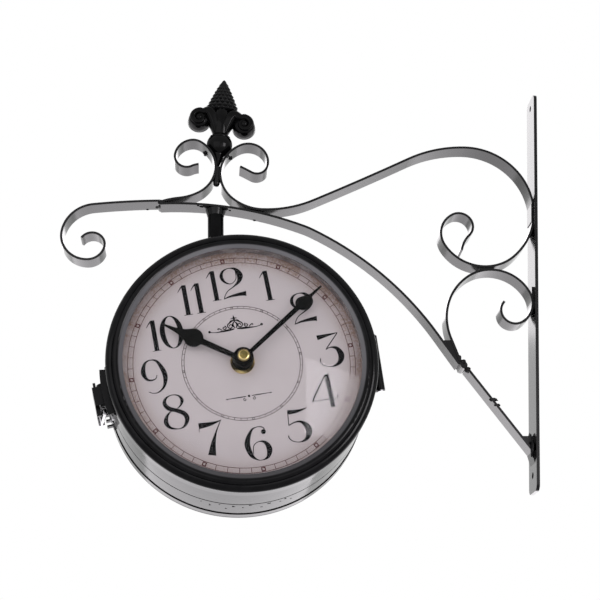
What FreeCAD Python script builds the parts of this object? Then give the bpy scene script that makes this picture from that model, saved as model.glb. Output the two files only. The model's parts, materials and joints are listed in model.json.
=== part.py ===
"""Double sided station clock on a scrolled wall bracket.

Units are millimetres, +Z is up. The wall is the plane x = 0 and the bracket reaches out towards -X.
The front dial looks towards -Y. The origin is the centre of the wall plate's two screw holes, on its back face.
The case is built upright about its own centre and then hung on the stem by one placement.
"""
import FreeCAD, Part
import math
import os

os.makedirs("parts", exist_ok=True)
V = FreeCAD.Vector
ORIGIN = V(0, 0, 0)
AXIS_X = V(1, 0, 0)
AXIS_Y = V(0, 1, 0)
AXIS_Z = V(0, 0, 1)

# Bracket: flat steel strip on edge
STRIP_WIDTH = 13.0
STRIP_THICK = 1.5
PLATE_WIDTH = 20.0
PLATE_THICK = 2.0
PLATE_TOP = 128.5
PLATE_BOTTOM = -132.5
PLATE_CORNER = 4.0
HOLE_PITCH = 244.0
HOLE_RADIUS = 2.0

# Each strip: start (x, z), heading in degrees, then bends as (length along the strip, turn in degrees)
LEFT_ARM_START = (-237.5, 35.7)
LEFT_ARM_HEADING = -174.8
LEFT_ARM_BENDS = [(41.0, 5), (28.5, 76), (27.5, 99), (13.0, 69), (22.5, 165)]
LONG_ARM_START = (-236.9, 33.8)
LONG_ARM_HEADING = 6.8
LONG_ARM_BENDS = [(91.0, -24), (5.5, -6), (103.0, -30), (22.5, 0)]
LEFT_S_START = (-236.1, 35.5)
LEFT_S_HEADING = 22.4
LEFT_S_BENDS = [(11.0, -12), (13.5, 24), (41.0, 117), (7.0, 44), (15.0, 71), (16.0, 124), (4.5, -20)]
UPPER_START = (-189.1, 62.9)
UPPER_HEADING = -22.7
UPPER_BENDS = [(8.0, -4), (12.5, 104), (28.0, 131), (44.0, 115), (20.5, 39), (33.0, 26), (68.0, 2),
               (38.0, -27), (102.5, -139), (50.0, -100), (24.0, -93), (24.5, -163), (11.5, 34)]
C_SCROLL_START = (-46.2, -59.0)
C_SCROLL_HEADING = 111.3
C_SCROLL_BENDS = [(19.0, 2), (17.5, -28), (27.5, -46), (45.0, -99), (22.5, -86), (24.5, -166)]
BRACE_TOP = (-43.4, -59.3)
BRACE_FOOT = (-2.0, -109.8)

# Finial: a cast piece between the two S scrolls
FINIAL_X = -203.2
FINIAL_TIP_Z = 126.2
CONE_FOOT_Z = 106.0
CONE_HALF_WIDTH = 10.4
FINIAL_DEPTH = 13.0
VOLUTES = [(-217.4, 96.8, 7.4), (-188.4, 94.2, 7.6)]
VOLUTE_DEPTH = 10.0
NECK_Z = 88.0
NECK_HALF_WIDTH = 5.6
BALL_Z = 80.0
BALL_RADIUS = 8.2
SPIKE_Z = 63.8
TANG_RADIUS = 2.1
TANG_X = -203.2
TANG_Y = -4.2
TANG_FOOT_Z = 50.9

# Stem and hanger: the stem is welded a little out of square and the case hangs swung to one side
STEM_RADIUS = 5.0
STEM_TOP = V(-202.5, 0, 33.6)
STEM_TO_PIVOT = 28.15
STEM_YAW = 1.5
STEM_PITCH = -3.5
STEM_ROLL = -4.0
CASE_TILT = -10.0
STUD_RADIUS = 2.5
STUD_DEPTH = 15.0
SHAFT_GAP = 0.05
NUT_PLAY = 0.4
NUT_HEIGHT = 5.0
NUT_FLATS = 10.0
NUT_CROWN = 8.0

# Case: one half, with radii about the dial's middle and depths in front of the seam
CASE_RADIUS = 78.6
SHEET = 1.2
INNER = CASE_RADIUS - SHEET
SEAM_GAP = 0.2
SEAM_CHAMFER = 0.55
FLANGE_WIDTH = 3.4
FLANGE_BORE = INNER - FLANGE_WIDTH
NOTCH_PLAY = 1.85
NOTCH_RADIUS = STEM_RADIUS + NOTCH_PLAY
DIAL_Y = 24.0
PAPER = 0.3
DIAL_SHEET = 1.0
FLANGE_Y = DIAL_Y - PAPER - DIAL_SHEET
BEZEL_PROUD = 0.5
BEZEL_RADIUS = CASE_RADIUS + BEZEL_PROUD
BEZEL_WALL = 1.3
DIAL_PLAY = 0.8
DIAL_RADIUS = BEZEL_RADIUS - BEZEL_WALL - DIAL_PLAY
SPACER_DEPTH = 6.0
SPACER_WALL = 1.0
SPACER_RADIUS = DIAL_RADIUS - 0.5
RIM_Y = DIAL_Y + SPACER_DEPTH
GLASS_THICK = 1.8
GLASS_RISE = 11.0
CROWN_OVER_GLASS = 1.7
BEZEL_CROWN_Y = RIM_Y + GLASS_THICK + CROWN_OVER_GLASS
RIM_WIDTH = 8.9
WINDOW_RADIUS = BEZEL_RADIUS - RIM_WIDTH
LIP_OVERHANG = 1.0
BEZEL_BORE = WINDOW_RADIUS - LIP_OVERHANG
GLASS_SEAT = 3.3
GLASS_RADIUS = WINDOW_RADIUS + GLASS_SEAT
STRAP_PLAY = 0.5
STRAP_TOP = INNER - STRAP_PLAY
STRAP_THICK = 2.0
STRAP_HALF_ANGLE = 14.0
PIVOT_HEIGHT = STRAP_TOP + STEM_RADIUS + 0.05
NUT_SEAT = STEM_RADIUS + STRAP_THICK + NUT_PLAY

# Clockwork
MOVEMENT_SIDE = 56.0
MOVEMENT_DEPTH = 16.0
BUSHING_RADIUS = 4.0
BUSHING_TOP = 4.0
TUBE_RADIUS = 2.5
ARBOR_RADIUS = 1.25
BATTERY_RADIUS = 7.1
BATTERY_LENGTH = 49.0
BATTERY_Z = -18.0
KNOB_X = 14.0
KNOB_Z = 14.0
KNOB_RADIUS = 6.5
HOUR_LEVEL = 5.2
MINUTE_LEVEL = 6.7
HUB_TOP = 10.2
HAND_SHEET = 0.5
HUB_RADIUS = 6.2
NUT_RADIUS = 7.1
SPINDLE_END = 1.3
SHOWN_HOUR = 10
SHOWN_MINUTE = 9.25
MINUTE_ANGLE = 6.0 * SHOWN_MINUTE
HOUR_ANGLE = 30.0 * (SHOWN_HOUR + SHOWN_MINUTE / 60.0)

# Hinge on the right of the case, latch on the left, each turned a little below the middle
HINGE_TURN = 4.1
HINGE_STANDOFF = 4.8
HINGE_AXIS = CASE_RADIUS + HINGE_STANDOFF
HINGE_HALF = 17.5
KNUCKLE_HALF = 5.7
BARREL_RADIUS = 2.8
PIN_RADIUS = 1.2
LATCH_TURN = -2.6
LEVER_PIN = (-CASE_RADIUS - 4.8, -14.5)
LOOP_PIN = (-CASE_RADIUS - 4.4, -8.5)
LEVER_FACE = CASE_RADIUS + 9.2
LEVER_SHEET = 1.4
LOOP_WIRE = 0.9
LOOP_HALF = 8.8
LOOP_END_WIDTH = 3.6
LOOP_LENGTH = 19.5
LOOP_LIFT = 8.0
KEEPER_HALF = 11.0
RIVET_RADIUS = 1.25
RIVET_HEAD = 2.3


def prism(points, y0, y1):
    """Solid with a polygon outline in the XZ plane, from y0 to y1."""
    ring = [V(x, y0, z) for x, z in points]
    ring.append(ring[0])
    return Part.Face(Part.makePolygon(ring)).extrude(V(0, y1 - y0, 0))


def post(points, z0, z1):
    """Solid with a polygon outline in the XY plane, from z0 to z1."""
    ring = [V(x, y, z0) for x, y in points]
    ring.append(ring[0])
    return Part.Face(Part.makePolygon(ring)).extrude(V(0, 0, z1 - z0))


def box(x0, x1, y0, y1, z0, z1):
    return Part.makeBox(x1 - x0, y1 - y0, z1 - z0, V(x0, y0, z0))


def disc(radius, y0, y1, x=0.0, z=0.0):
    """Cylinder along Y."""
    return Part.makeCylinder(radius, y1 - y0, V(x, y0, z), AXIS_Y)


def rod_z(radius, x, y, z0, z1):
    return Part.makeCylinder(radius, z1 - z0, V(x, y, z0), AXIS_Z)


def turned(edges, angle=360.0):
    """Solid of revolution about the Y axis from edges drawn in the XY plane."""
    return Part.Face(Part.Wire(edges)).revolve(ORIGIN, AXIS_Y, angle)


def outline(points):
    """Closed loop of edges in the XY plane; a point given as (x, y, 'arc') is passed through by an arc."""
    edges = []
    ring = points + [points[0]]
    index = 0
    while index < len(ring) - 1:
        here = V(ring[index][0], ring[index][1], 0)
        follow = ring[index + 1]
        if len(follow) == 3:
            after = ring[index + 2]
            edges.append(Part.Arc(here, V(follow[0], follow[1], 0), V(after[0], after[1], 0)).toShape())
            index += 2
        else:
            edges.append(Part.makeLine(here, V(follow[0], follow[1], 0)))
            index += 1
    return edges


def tube(r_in, r_out, y0, y1):
    return disc(r_out, y0, y1).cut(disc(r_in, y0 - 1, y1 + 1))


def sector(r_in, r_out, y0, y1, half_angle, middle=0.0):
    """Piece of a ring about Y, centred on the direction 'middle' degrees from +X towards -Z."""
    solid = turned(outline([(r_in, y0), (r_out, y0), (r_out, y1), (r_in, y1)]), 2 * half_angle)
    solid.rotate(ORIGIN, AXIS_Y, middle - half_angle)
    return solid


def bend_frame(point, heading, length, turn):
    """Point and heading after going 'length' along a bend of 'turn' degrees."""
    h = math.radians(heading)
    t = math.radians(turn)
    if abs(t) < 1e-9:
        return (point[0] + length * math.cos(h), point[1] + length * math.sin(h)), heading
    k = t / length
    x = point[0] + (math.sin(h + t) - math.sin(h)) / k
    z = point[1] - (math.cos(h + t) - math.cos(h)) / k
    return (x, z), heading + turn


def beside(point, heading, offset, y):
    """Point at 'offset' to the left of a heading."""
    h = math.radians(heading)
    return V(point[0] - offset * math.sin(h), y, point[1] + offset * math.cos(h))


def ribbon(start, heading, bends):
    """Flat strip on edge that follows the bends, its width across Y."""
    y = -STRIP_WIDTH / 2
    half = STRIP_THICK / 2
    sides = {half: [], -half: []}
    point = start
    first = (point, heading)
    for length, turn in bends:
        middle, mid_heading = bend_frame(point, heading, length / 2.0, turn / 2.0)
        end, end_heading = bend_frame(point, heading, length, turn)
        for side in sides:
            a = beside(point, heading, side, y)
            b = beside(end, end_heading, side, y)
            if turn == 0:
                sides[side].append(Part.makeLine(a, b))
            else:
                sides[side].append(Part.Arc(a, beside(middle, mid_heading, side, y), b).toShape())
        point, heading = end, end_heading
    caps = []
    for spot, direction in (first, (point, heading)):
        caps.append(Part.makeLine(beside(spot, direction, half, y), beside(spot, direction, -half, y)))
    loop = Part.Wire(Part.__sortEdges__(sides[half] + sides[-half] + caps))
    return Part.Face(loop).extrude(V(0, STRIP_WIDTH, 0))


def path_point(start, heading, bends, distance):
    """Point on a strip's middle line at a distance along it."""
    point = start
    for length, turn in bends:
        if distance <= length:
            return bend_frame(point, heading, distance, turn * distance / length)[0]
        point, heading = bend_frame(point, heading, length, turn)
        distance -= length
    return point


def hexagon(flats, y0, y1):
    radius = flats / math.sqrt(3.0)
    points = []
    for i in range(6):
        a = math.radians(60 * i)
        points.append((radius * math.cos(a), radius * math.sin(a)))
    return prism(points, y0, y1)


def solids(shape):
    """The solids of a shape, largest first."""
    return sorted(shape.Solids, key=lambda s: -s.Volume)


stem_turn = FreeCAD.Rotation(AXIS_Z, STEM_YAW)
stem_turn = stem_turn.multiply(FreeCAD.Rotation(AXIS_X, STEM_PITCH))
stem_turn = stem_turn.multiply(FreeCAD.Rotation(AXIS_Y, STEM_ROLL))
case_turn = stem_turn.multiply(FreeCAD.Rotation(AXIS_Y, CASE_TILT))
pivot = STEM_TOP - stem_turn.multVec(V(0, 0, STEM_TO_PIVOT))
on_stem = FreeCAD.Placement(pivot, stem_turn)
in_case = FreeCAD.Placement(pivot - case_turn.multVec(V(0, 0, PIVOT_HEIGHT)), case_turn)


def placed(shape, placement):
    result = shape.copy()
    result.Placement = placement.multiply(result.Placement)
    return result


nodes = {}


def keep(name, shape):
    nodes[name] = shape


def keep_on_stem(name, shape):
    keep(name, placed(shape, on_stem))


def keep_in_case(name, shape):
    keep(name, placed(shape, in_case))


# Bracket ----------------------------------------------------------------------------------------------------

plate = box(-PLATE_THICK, 0, -PLATE_WIDTH / 2, PLATE_WIDTH / 2, PLATE_BOTTOM, PLATE_TOP)
corners = [e for e in plate.Edges if abs(e.Vertexes[0].Z - e.Vertexes[-1].Z) < 0.01
           and abs(e.Vertexes[0].Y - e.Vertexes[-1].Y) < 0.01]
plate = plate.makeFillet(PLATE_CORNER, corners)
for z in (-HOLE_PITCH / 2, HOLE_PITCH / 2):
    plate = plate.cut(Part.makeCylinder(HOLE_RADIUS, PLATE_THICK + 2, V(-PLATE_THICK - 1, 0, z), AXIS_X))

long_arm = ribbon(LONG_ARM_START, LONG_ARM_HEADING, LONG_ARM_BENDS)
left_arm = ribbon(LEFT_ARM_START, LEFT_ARM_HEADING, LEFT_ARM_BENDS).cut(long_arm)
left_s = ribbon(LEFT_S_START, LEFT_S_HEADING, LEFT_S_BENDS).cut(long_arm)
upper_arm = ribbon(UPPER_START, UPPER_HEADING, UPPER_BENDS).cut(long_arm).cut(plate)
brace_angle = math.degrees(math.atan2(BRACE_FOOT[1] - BRACE_TOP[1], BRACE_FOOT[0] - BRACE_TOP[0]))
brace_length = math.hypot(BRACE_FOOT[0] - BRACE_TOP[0], BRACE_FOOT[1] - BRACE_TOP[1])
lower_brace = ribbon(BRACE_TOP, brace_angle, [(brace_length + 2.0, 0)]).cut(plate).cut(long_arm)
lower_brace = lower_brace.cut(box(-0.01, 20, -20, 20, -200, 0))
lower_brace = solids(lower_brace)[0]
c_scroll = ribbon(C_SCROLL_START, C_SCROLL_HEADING, C_SCROLL_BENDS)
c_scroll = c_scroll.cut(plate).cut(long_arm).cut(upper_arm).cut(lower_brace)
c_scroll = solids(c_scroll)[0]

# Finial: cone of flattened section, two volutes, neck, ball and spike, parted by the two S scrolls
cone_height = FINIAL_TIP_Z - CONE_FOOT_Z
cone_line = Part.BSplineCurve()
cone_line.interpolate([V(0, 0, FINIAL_TIP_Z),
                       V(3.4, 0, FINIAL_TIP_Z - 0.18 * cone_height),
                       V(7.4, 0, FINIAL_TIP_Z - 0.55 * cone_height),
                       V(CONE_HALF_WIDTH, 0, CONE_FOOT_Z)])
cone_edges = [cone_line.toShape(),
              Part.makeLine(V(CONE_HALF_WIDTH, 0, CONE_FOOT_Z), V(7.4, 0, CONE_FOOT_Z - 7.0)),
              Part.makeLine(V(7.4, 0, CONE_FOOT_Z - 7.0), V(NECK_HALF_WIDTH, 0, NECK_Z)),
              Part.makeLine(V(NECK_HALF_WIDTH, 0, NECK_Z), V(NECK_HALF_WIDTH, 0, NECK_Z - 4)),
              Part.makeLine(V(NECK_HALF_WIDTH, 0, NECK_Z - 4), V(0, 0, NECK_Z - 4)),
              Part.makeLine(V(0, 0, NECK_Z - 4), V(0, 0, FINIAL_TIP_Z))]
cone = Part.Face(Part.Wire(cone_edges)).revolve(ORIGIN, AXIS_Z, 360)
flatten = FreeCAD.Matrix()
flatten.scale(1.0, FINIAL_DEPTH / (2 * CONE_HALF_WIDTH), 1.0)
cone = cone.transformGeometry(flatten)
cone.translate(V(FINIAL_X, 0, 0))
finial = cone
for x, z, radius in VOLUTES:
    whorl = disc(radius, -VOLUTE_DEPTH / 2, VOLUTE_DEPTH / 2, x, z)
    rims = [e for e in whorl.Edges if len(e.Vertexes) == 1 and abs(e.Length - 2 * math.pi * radius) < 0.01]
    whorl = whorl.makeChamfer(1.6, rims)
    side = 1 if x > FINIAL_X else -1
    leaf = prism([(FINIAL_X, NECK_Z + 4.0), (FINIAL_X, CONE_FOOT_Z + 1.0), (x - side * 1.0, z + radius - 0.3),
                  (x - side * 4.0, z - 1.0), (FINIAL_X + side * NECK_HALF_WIDTH, NECK_Z + 2.0)],
                 -VOLUTE_DEPTH / 2 + 1.2, VOLUTE_DEPTH / 2 - 1.2)
    finial = finial.fuse(whorl).fuse(leaf)
ball = Part.makeSphere(BALL_RADIUS, V(FINIAL_X, 0, BALL_Z))
ball = ball.common(box(-260, -150, -FINIAL_DEPTH / 2, FINIAL_DEPTH / 2, 0, 140))
spike = Part.makeCone(0.9, 5.6, BALL_Z - 5.0 - SPIKE_Z, V(FINIAL_X - 0.4, 0, SPIKE_Z), AXIS_Z)
finial = finial.fuse(ball).fuse(spike).cut(left_s).cut(upper_arm)
finial = solids(finial)[0].removeSplitter()

# Stem: a tube with a ball end that the case rocks under, bored for the stud
stem = Part.makeCylinder(STEM_RADIUS, STEM_TO_PIVOT + 6, ORIGIN, AXIS_Z)
stem = stem.fuse(Part.makeSphere(STEM_RADIUS, ORIGIN)).removeSplitter()
stem = stem.cut(rod_z(STUD_RADIUS + SHAFT_GAP, 0, 0, -10, STUD_DEPTH))
stem = placed(stem, on_stem).cut(long_arm)
stem = sorted(stem.Solids, key=lambda s: s.CenterOfMass.z)[0]

# Weld beads fill the corners where strips meet; each is parted by what it joins
steel = [plate, long_arm, left_arm, left_s, upper_arm, lower_brace, c_scroll, finial, stem]


def bead(shape):
    for part in steel:
        shape = shape.cut(part)
    return solids(shape)[0]


half_weld = STRIP_WIDTH / 2 - 0.6
collar = Part.makeCone(STEM_RADIUS + 0.2, STEM_RADIUS + 1.6, 4.0, V(0, 0, STEM_TO_PIVOT - 3.6), AXIS_Z)
collar = placed(collar, on_stem).cut(box(-260, -150, -20, 20, 34.6, 60))
tang = rod_z(TANG_RADIUS, TANG_X, TANG_Y, TANG_FOOT_Z, SPIKE_Z - 1.6)
tang = tang.fuse(Part.makeSphere(TANG_RADIUS, V(TANG_X, TANG_Y, TANG_FOOT_Z)))
tail = []
for i in range(5):
    tail.append(path_point(C_SCROLL_START, C_SCROLL_HEADING, C_SCROLL_BENDS, 4.5 * i))
arm_length = sum(length for length, turn in LONG_ARM_BENDS)
for i in range(5):
    tail.append(path_point(LONG_ARM_START, LONG_ARM_HEADING, LONG_ARM_BENDS, arm_length - 18.0 + 4.5 * i))
beads = [
    bead(collar),
    bead(tang),
    bead(prism(tail, -half_weld, half_weld)),
    bead(disc(2.2, -half_weld, half_weld, -45.2, -57.6)),
    bead(disc(1.7, -half_weld, half_weld, -237.0, 34.9)),
    bead(disc(1.6, -half_weld, half_weld, -182.6, 33.6)),
    bead(prism([(-2, -98.5), (-2, -108.5), (-10, -98.8)], -3.0, 3.0)),
    bead(prism([(-2, -115.5), (-2, -109.0), (-4.0, -109.0)], -half_weld, half_weld)),
    bead(box(-3.2, -2.0, -half_weld, half_weld, 40.0, 52.0)),
    bead(box(-3.2, -2.0, -half_weld, half_weld, -14.0, -4.0)),
    bead(box(-36.0, -27.0, -half_weld, half_weld, 5.0, 7.2)),
]

keep("wall_plate", plate)
keep("left_scroll_arm", left_arm)
keep("long_arm", long_arm)
keep("lower_brace", lower_brace)
keep("left_s_scroll", left_s)
keep("upper_arm", upper_arm)
keep("c_scroll", c_scroll)
keep("finial", finial)
keep("stem", stem)
keep("weld_beads", Part.makeCompound(beads))

# Hanger -----------------------------------------------------------------------------------------------------

stud = rod_z(STUD_RADIUS, 0, 0, -NUT_SEAT - NUT_HEIGHT - 2.0, STUD_DEPTH - 1.0)
nut = hexagon(NUT_FLATS, 0, NUT_HEIGHT + 1.0)
nut.rotate(ORIGIN, AXIS_X, -90)
crown = Part.makeSphere(NUT_CROWN, V(0, 0, -NUT_SEAT - NUT_CROWN))
nut.translate(V(0, 0, -NUT_SEAT - nut.BoundBox.ZMax))
nut = nut.common(crown).cut(rod_z(STUD_RADIUS, 0, 0, -40, 0))
keep_on_stem("hanger_stud", stud)
keep_on_stem("hanger_nut", nut)

# Case halves ------------------------------------------------------------------------------------------------


def rivet(x_out, x_in, y, along):
    """Rivet along X through sheet from x_in to x_out, with a head at each end, set 'along' the rim."""
    side = 1.0 if x_out > 0 else -1.0
    body = Part.makeCylinder(RIVET_RADIUS, abs(x_out - x_in) + 0.3, V(x_in - side * 0.3, y, 0), V(side, 0, 0))
    head = Part.makeCylinder(RIVET_HEAD, 0.8, V(x_out, y, 0), V(side, 0, 0))
    tail_end = Part.makeCylinder(RIVET_HEAD - 0.5, 0.7, V(x_in - side * 0.1, y, 0), V(-side, 0, 0))
    body = body.fuse(head).fuse(tail_end)
    body.rotate(ORIGIN, AXIS_Y, -side * math.degrees(along / abs(x_out)))
    return body


def pinhole(radius, along, y, side):
    """Radial hole for a rivet through the case wall."""
    hole = Part.makeCylinder(radius, 12, V(side * (CASE_RADIUS - 6), y, 0), V(side, 0, 0))
    hole.rotate(ORIGIN, AXIS_Y, -side * math.degrees(along / CASE_RADIUS))
    return hole


def rim_rivets(side, y, offsets, turn, plate_top):
    group = []
    for along in offsets:
        pin = rivet(side * plate_top, side * INNER, y, along)
        pin.rotate(ORIGIN, AXIS_Y, turn)
        group.append(pin)
    return group


def case_shell():
    """Front half shell: a pan with a flange round its window, open at the seam."""
    shell = turned(outline([(CASE_RADIUS - SEAM_CHAMFER, -SEAM_GAP), (CASE_RADIUS, -SEAM_GAP - SEAM_CHAMFER),
                            (CASE_RADIUS, -FLANGE_Y), (FLANGE_BORE, -FLANGE_Y), (FLANGE_BORE, -FLANGE_Y + SHEET),
                            (INNER, -FLANGE_Y + SHEET), (INNER, -SEAM_GAP)]))
    return shell.cut(rod_z(NOTCH_RADIUS, 0, 0, CASE_RADIUS / 2, 2 * CASE_RADIUS))


def case_bezel():
    """Front bezel: two rolls with a groove between, a sloping lip over the glass and an open back."""
    y = -BEZEL_CROWN_Y
    r = BEZEL_RADIUS
    seat = -RIM_Y - GLASS_THICK
    bore = r - BEZEL_WALL
    return turned(outline([(r, -FLANGE_Y), (r, y + 4.6), (r - 0.9, y + 1.3, "arc"), (r - 3.2, y + 0.3),
                           (r - 3.9, y + 0.9), (r - 4.9, y + 0.25), (r - 6.0, y, "arc"), (r - 7.2, y + 0.3),
                           (BEZEL_BORE, seat - 0.95), (BEZEL_BORE, seat - 0.35), (WINDOW_RADIUS + 0.1, seat),
                           (bore - 1.6, seat), (bore, seat + 2.4), (bore, -FLANGE_Y)]))


def case_glass():
    """Domed lens with a flat rim."""
    rim = -RIM_Y
    face = rim - GLASS_THICK
    edge = WINDOW_RADIUS
    outer_r = (edge ** 2 + GLASS_RISE ** 2) / (2 * GLASS_RISE)
    centre = face - GLASS_RISE + outer_r
    inner_r = outer_r - GLASS_THICK
    inner_edge = math.sqrt(inner_r ** 2 - (rim - centre) ** 2)
    bend = math.radians(9.0)
    outer_mid = (outer_r * math.sin(bend), centre - outer_r * math.cos(bend))
    inner_mid = (inner_r * math.sin(bend), centre - inner_r * math.cos(bend))
    loop = [(0, centre - outer_r), outer_mid + ("arc",), (edge, face), (GLASS_RADIUS, face),
            (GLASS_RADIUS, rim), (inner_edge, rim), inner_mid + ("arc",), (0, centre - inner_r)]
    return turned(outline(loop))


def spacer_ring():
    web = WINDOW_RADIUS + SPACER_WALL
    return turned(outline([(WINDOW_RADIUS, -DIAL_Y), (WINDOW_RADIUS, -RIM_Y), (SPACER_RADIUS, -RIM_Y),
                           (SPACER_RADIUS, -RIM_Y + 0.8), (web, -RIM_Y + 0.8), (web, -DIAL_Y)]))


def level(height):
    """Depth of a height above the front dial."""
    return -DIAL_Y - height


def movement():
    back = -FLANGE_Y + MOVEMENT_DEPTH
    half = MOVEMENT_SIDE / 2
    case = box(-half, half, -FLANGE_Y, back, -half, half)
    upright = [e for e in case.Edges if abs(e.Vertexes[0].Y - e.Vertexes[-1].Y) > 1]
    case = case.makeFillet(3.0, upright)
    bay = box(-BATTERY_LENGTH / 2 - 1.5, BATTERY_LENGTH / 2 + 1.5, back - 14.7, back + 1,
              BATTERY_Z - BATTERY_RADIUS - 0.4, BATTERY_Z + BATTERY_RADIUS + 0.4)
    case = case.cut(bay)
    case = case.fuse(disc(BUSHING_RADIUS, level(BUSHING_TOP), -FLANGE_Y)).removeSplitter()
    case = case.cut(disc(TUBE_RADIUS + SHAFT_GAP, level(BUSHING_TOP) - 1, level(-3.0)))
    return case.cut(disc(ARBOR_RADIUS + SHAFT_GAP, back - 4, back + 1, KNOB_X, KNOB_Z))


def battery():
    y = -FLANGE_Y + MOVEMENT_DEPTH - 14.7 + BATTERY_RADIUS
    cell = Part.makeCylinder(BATTERY_RADIUS, BATTERY_LENGTH, V(-BATTERY_LENGTH / 2, y, BATTERY_Z), AXIS_X)
    nub = Part.makeCylinder(2.7, 1.4, V(BATTERY_LENGTH / 2, y, BATTERY_Z), AXIS_X)
    return cell.fuse(nub)


def set_knob():
    back = -FLANGE_Y + MOVEMENT_DEPTH
    knob = disc(KNOB_RADIUS, back + 0.3, back + 4.5, KNOB_X, KNOB_Z)
    for i in range(12):
        a = math.radians(30 * i)
        rim_x = KNOB_X + KNOB_RADIUS * math.cos(a)
        rim_z = KNOB_Z + KNOB_RADIUS * math.sin(a)
        knob = knob.cut(disc(0.5, back, back + 5, rim_x, rim_z))
    return knob.fuse(disc(ARBOR_RADIUS, back - 3.5, back + 0.3, KNOB_X, KNOB_Z))


def hand(y, blob_at, blob_radius, tip_at, bar_near, bar_far, taper):
    """Hand pointing at 12: a hub disc, a bar, a round bulb and a tapering tip."""
    top = y - HAND_SHEET
    sheet = disc(HUB_RADIUS, top, y)
    sheet = sheet.fuse(prism([(-bar_near, 0), (bar_near, 0), (bar_far, blob_at), (-bar_far, blob_at)], top, y))
    sheet = sheet.fuse(disc(blob_radius, top, y, 0, blob_at))
    right = [(half, blob_at + along) for half, along in taper]
    left = [(-half, z) for half, z in reversed(right)]
    sheet = sheet.fuse(prism([(taper[0][0], blob_at), ] + right + [(0.5, tip_at), (-0.5, tip_at)] + left
                             + [(-taper[0][0], blob_at)], top, y))
    return sheet.removeSplitter()


def hour_hand():
    taper = [(5.2, 2.3), (3.2, 5.6), (2.0, 8.5), (1.1, 13.0)]
    sheet = hand(level(HOUR_LEVEL), 31.4, 5.7, 50.8, 1.5, 1.9, taper)
    collar_top = level(MINUTE_LEVEL - 0.4)
    sheet = sheet.fuse(disc(4.6, collar_top, level(HOUR_LEVEL)))
    sheet = sheet.fuse(disc(TUBE_RADIUS, level(HOUR_LEVEL), level(-2.0)))
    sheet = sheet.cut(disc(ARBOR_RADIUS + SHAFT_GAP, level(20), level(-5)))
    sheet.rotate(ORIGIN, AXIS_Y, HOUR_ANGLE)
    return sheet


def minute_hand():
    taper = [(3.9, 1.6), (2.8, 4.0), (1.3, 6.6), (0.9, 8.2)]
    sheet = hand(level(MINUTE_LEVEL), 49.6, 4.2, 65.8, 1.2, 1.5, taper)
    sheet = sheet.fuse(disc(HUB_RADIUS - 0.3, level(HUB_TOP), level(MINUTE_LEVEL)))
    sheet = sheet.fuse(disc(ARBOR_RADIUS, level(HUB_TOP + SPINDLE_END), level(-1.5)))
    sheet.rotate(ORIGIN, AXIS_Y, MINUTE_ANGLE)
    return sheet


def cap_nut():
    """Low round head over the end of the minute spindle."""
    base = level(HUB_TOP)
    bore = ARBOR_RADIUS + 0.02
    bore_top = level(HUB_TOP + SPINDLE_END + 0.1)
    return turned(outline([(3.4, base), (3.4, base - 0.3), (3.75, base - 0.6), (3.75, base - 2.2),
                           (3.3, base - 3.2, "arc"), (2.5, base - 3.6), (0.5, base - 3.8), (0, base - 3.8),
                           (0, bore_top), (bore, bore_top), (bore, base)]))


def dial_paper():
    return tube(BUSHING_RADIUS + 0.1, DIAL_RADIUS, -DIAL_Y, -DIAL_Y + PAPER)


def dial_plate():
    return tube(BUSHING_RADIUS + 0.1, DIAL_RADIUS + 0.3, -DIAL_Y + PAPER, -FLANGE_Y)


def bushing_nut():
    """Round nut with a sloping edge."""
    r = NUT_RADIUS
    return turned(outline([(BUSHING_RADIUS, level(0)), (r, level(0)), (r, level(1.2)), (r - 1.1, level(2.3)),
                           (BUSHING_RADIUS, level(2.3))]))


shell_front = case_shell()
shell_rear = case_shell()
shell_rear.rotate(ORIGIN, AXIS_Z, 180)

# Hanger strap: curved under the top of the rear shell, joggled down where it runs forward under the seam
strap = sector(STRAP_TOP - STRAP_THICK, STRAP_TOP, -9.0, 7.0, STRAP_HALF_ANGLE, -90)
strap = strap.fuse(sector(STRAP_TOP - STRAP_THICK, INNER, 6.0, 7.0, STRAP_HALF_ANGLE, -90))
strap = strap.fuse(sector(INNER - STRAP_THICK, INNER, 7.0, 16.0, STRAP_HALF_ANGLE, -90)).removeSplitter()
slot_z = (STRAP_TOP - 15.0, STRAP_TOP + 15.0)
slot = rod_z(STUD_RADIUS + 0.3, -1.8, 0, slot_z[0], slot_z[1])
slot = slot.fuse(rod_z(STUD_RADIUS + 0.3, 1.8, 0, slot_z[0], slot_z[1]))
slot = slot.fuse(box(-1.8, 1.8, -STUD_RADIUS - 0.3, STUD_RADIUS + 0.3, slot_z[0], slot_z[1]))
strap = strap.cut(slot)
strap_rivets = []
for turn in (-8.5, 8.5):
    pin = rivet(CASE_RADIUS, INNER - STRAP_THICK, 12.0, 0)
    hole = Part.makeCylinder(RIVET_RADIUS, 16, V(CASE_RADIUS - 8, 12.0, 0), AXIS_X)
    for piece in (pin, hole):
        piece.rotate(ORIGIN, AXIS_Y, turn - 90)
    strap_rivets.append(pin)
    strap = strap.cut(hole)
    shell_rear = shell_rear.cut(hole)

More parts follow.
